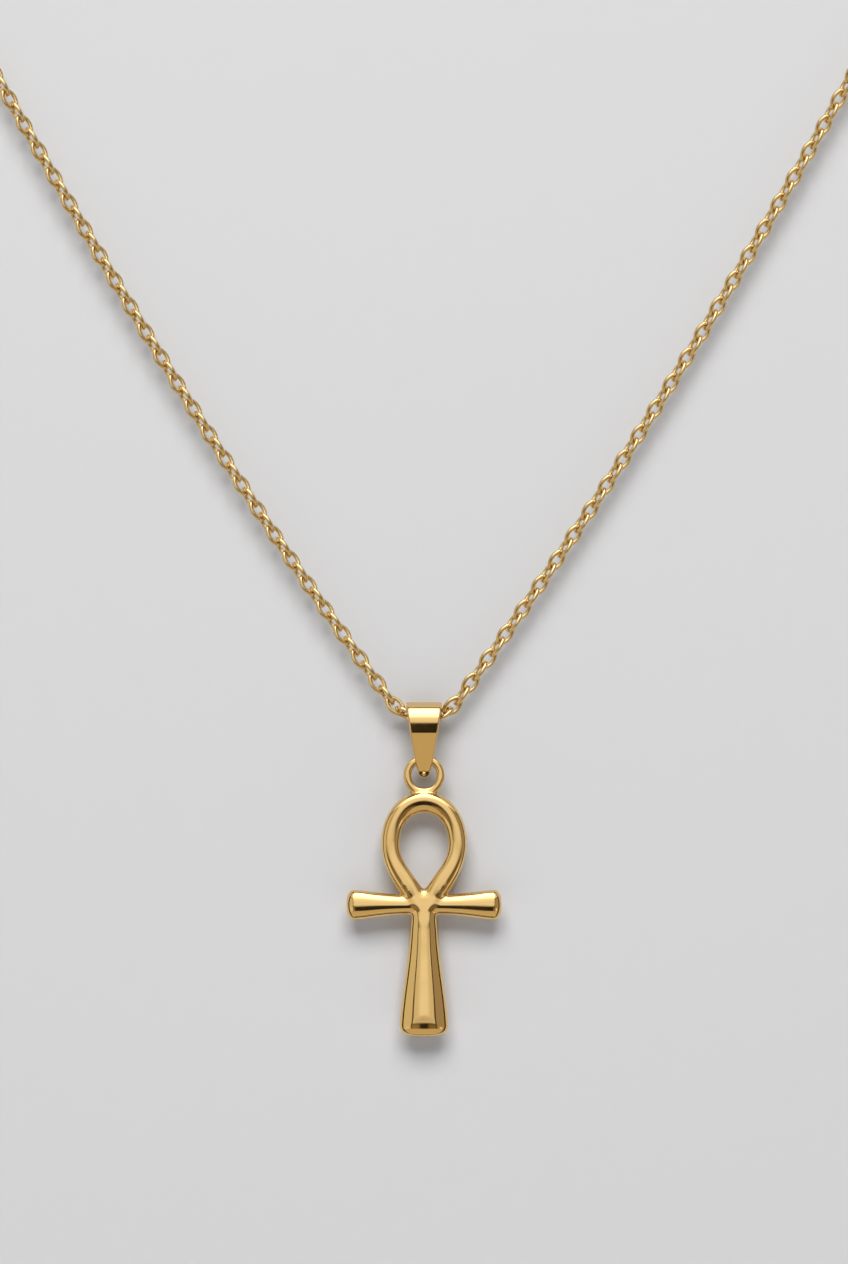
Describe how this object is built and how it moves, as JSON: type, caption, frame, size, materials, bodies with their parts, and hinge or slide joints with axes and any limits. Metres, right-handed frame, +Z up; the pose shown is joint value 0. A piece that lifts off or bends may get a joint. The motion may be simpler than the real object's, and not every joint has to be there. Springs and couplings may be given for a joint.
{
  "type": "ankh pendant on a chain",
  "caption": "Cast ankh with a drop-shaped loop, flared arms and stem, hung by its round eye from a tapered strip bail on a whole neck chain of oval links.",
  "frame": {"origin": "the nape, in the middle of the clasp, where the closed chain rests on a neck", "axes": "+Z up along the hanging necklace, front of the pendant towards -Y, X across the arms"},
  "size_m": [0.1282, 0.0052, 0.2168],
  "materials": {
    "chain_gold": "gold plated, bright, soft edged from wear",
    "bail_gold": "gold plated, polished with a faint brushed grain",
    "ankh_gold": "gold plated, mirror polished"
  },
  "bodies": {
    "chain": {"chain_left": "chain_gold", "chain_right": "chain_gold", "clasp": "chain_gold"},
    "bail": {"bail": "bail_gold"},
    "ankh": {"ankh": "ankh_gold"}
  },
  "joints": [
    {"name": "bail_swing", "type": "hinge", "parent": "chain", "child": "bail", "pos_m": [0, 0, -0.17277], "axis": [1, 0, 0], "range_deg": [-90, 90]},
    {"name": "ankh_swing", "type": "hinge", "parent": "bail", "child": "ankh", "pos_m": [0, 0, -0.17762], "axis": [1, 0, 0], "range_deg": [-75, 75]}
  ]
}
